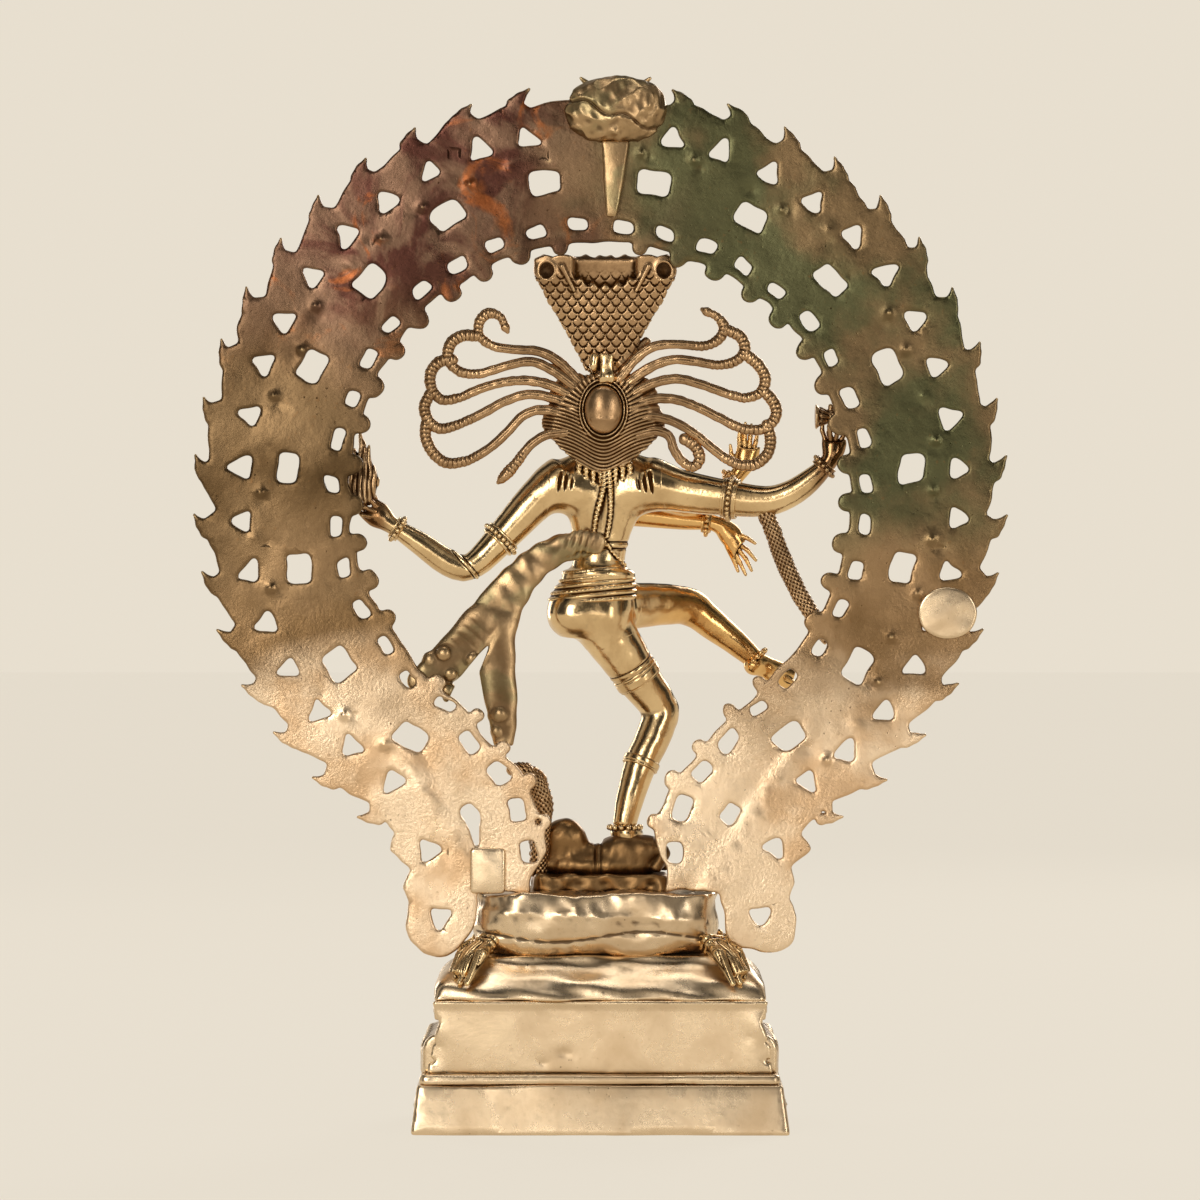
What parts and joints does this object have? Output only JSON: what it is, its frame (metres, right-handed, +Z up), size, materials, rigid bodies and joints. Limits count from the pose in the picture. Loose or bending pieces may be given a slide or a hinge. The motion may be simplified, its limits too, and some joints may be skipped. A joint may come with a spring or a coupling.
{
  "type": "nataraja statue",
  "caption": "Cast brass dancing figure on one leg inside a pierced flame ring, on a stepped rectangular plinth that rests flat.",
  "frame": {"origin": "centre of the plinth's resting face", "axes": "+Z up, the figure faces -Y, its own left hand towards +X"},
  "size_m": [0.4652, 0.132, 0.6099],
  "materials": {
    "pale_brass": "pale polished, pitted",
    "polished_brass": "polished, dark in the grooves",
    "antiqued_brass": "brown antique patina, rubbed bright on ridges",
    "patinated_brass": "heat-tinted maroon, olive and gold"
  },
  "bodies": {
    "root": {"arm_cobra": "antiqued_brass", "armlet_rear_left": "polished_brass", "armlet_rear_right": "polished_brass", "aureole_arch": "patinated_brass", "bracelet_front_left": "polished_brass", "bracelet_front_right": "polished_brass", "bracelet_rear_left": "polished_brass", "bracelet_rear_right": "polished_brass", "brazing_tab": "patinated_brass", "calf_band": "polished_brass", "crest_mask": "patinated_brass", "crest_stem": "patinated_brass", "crown_stem": "antiqued_brass", "drum": "antiqued_brass", "dwarf_body": "antiqued_brass", "dwarf_cobra": "antiqued_brass", "dwarf_head": "antiqued_brass", "flame": "antiqued_brass", "footrest_slab": "antiqued_brass", "front_left_arm": "polished_brass", "front_right_arm": "polished_brass", "hair_disc": "antiqued_brass", "hair_lock_left_1": "antiqued_brass", "hair_lock_left_2": "antiqued_brass", "hair_lock_left_3": "antiqued_brass", "hair_lock_left_4": "antiqued_brass", "hair_lock_left_5": "antiqued_brass", "hair_lock_left_6": "antiqued_brass", "hair_lock_right_1": "antiqued_brass", "hair_lock_right_2": "antiqued_brass", "hair_lock_right_3": "antiqued_brass", "hair_lock_right_4": "antiqued_brass", "hair_lock_right_5": "antiqued_brass", "hair_lock_right_6": "antiqued_brass", "head": "polished_brass", "hips": "polished_brass", "hood_crown": "antiqued_brass", "leaf_claw_front_left": "pale_brass", "leaf_claw_front_right": "pale_brass", "leaf_claw_rear_left": "pale_brass", "leaf_claw_rear_right": "pale_brass", "lotus_moulding": "pale_brass", "lotus_seat": "pale_brass", "necklace": "polished_brass", "plinth_back_plate": "pale_brass", "plinth_lower_tier": "pale_brass", "plinth_shoulder": "pale_brass", "plinth_strip": "pale_brass", "plinth_upper_tier": "pale_brass", "raised_foot": "polished_brass", "raised_leg": "polished_brass", "rear_left_arm": "polished_brass", "rear_right_arm": "polished_brass", "repair_patch": "patinated_brass", "sash": "antiqued_brass", "standing_foot": "polished_brass", "standing_leg": "polished_brass", "thigh_band": "polished_brass", "torso": "polished_brass", "waist_belt": "polished_brass"}
  },
  "joints": []
}
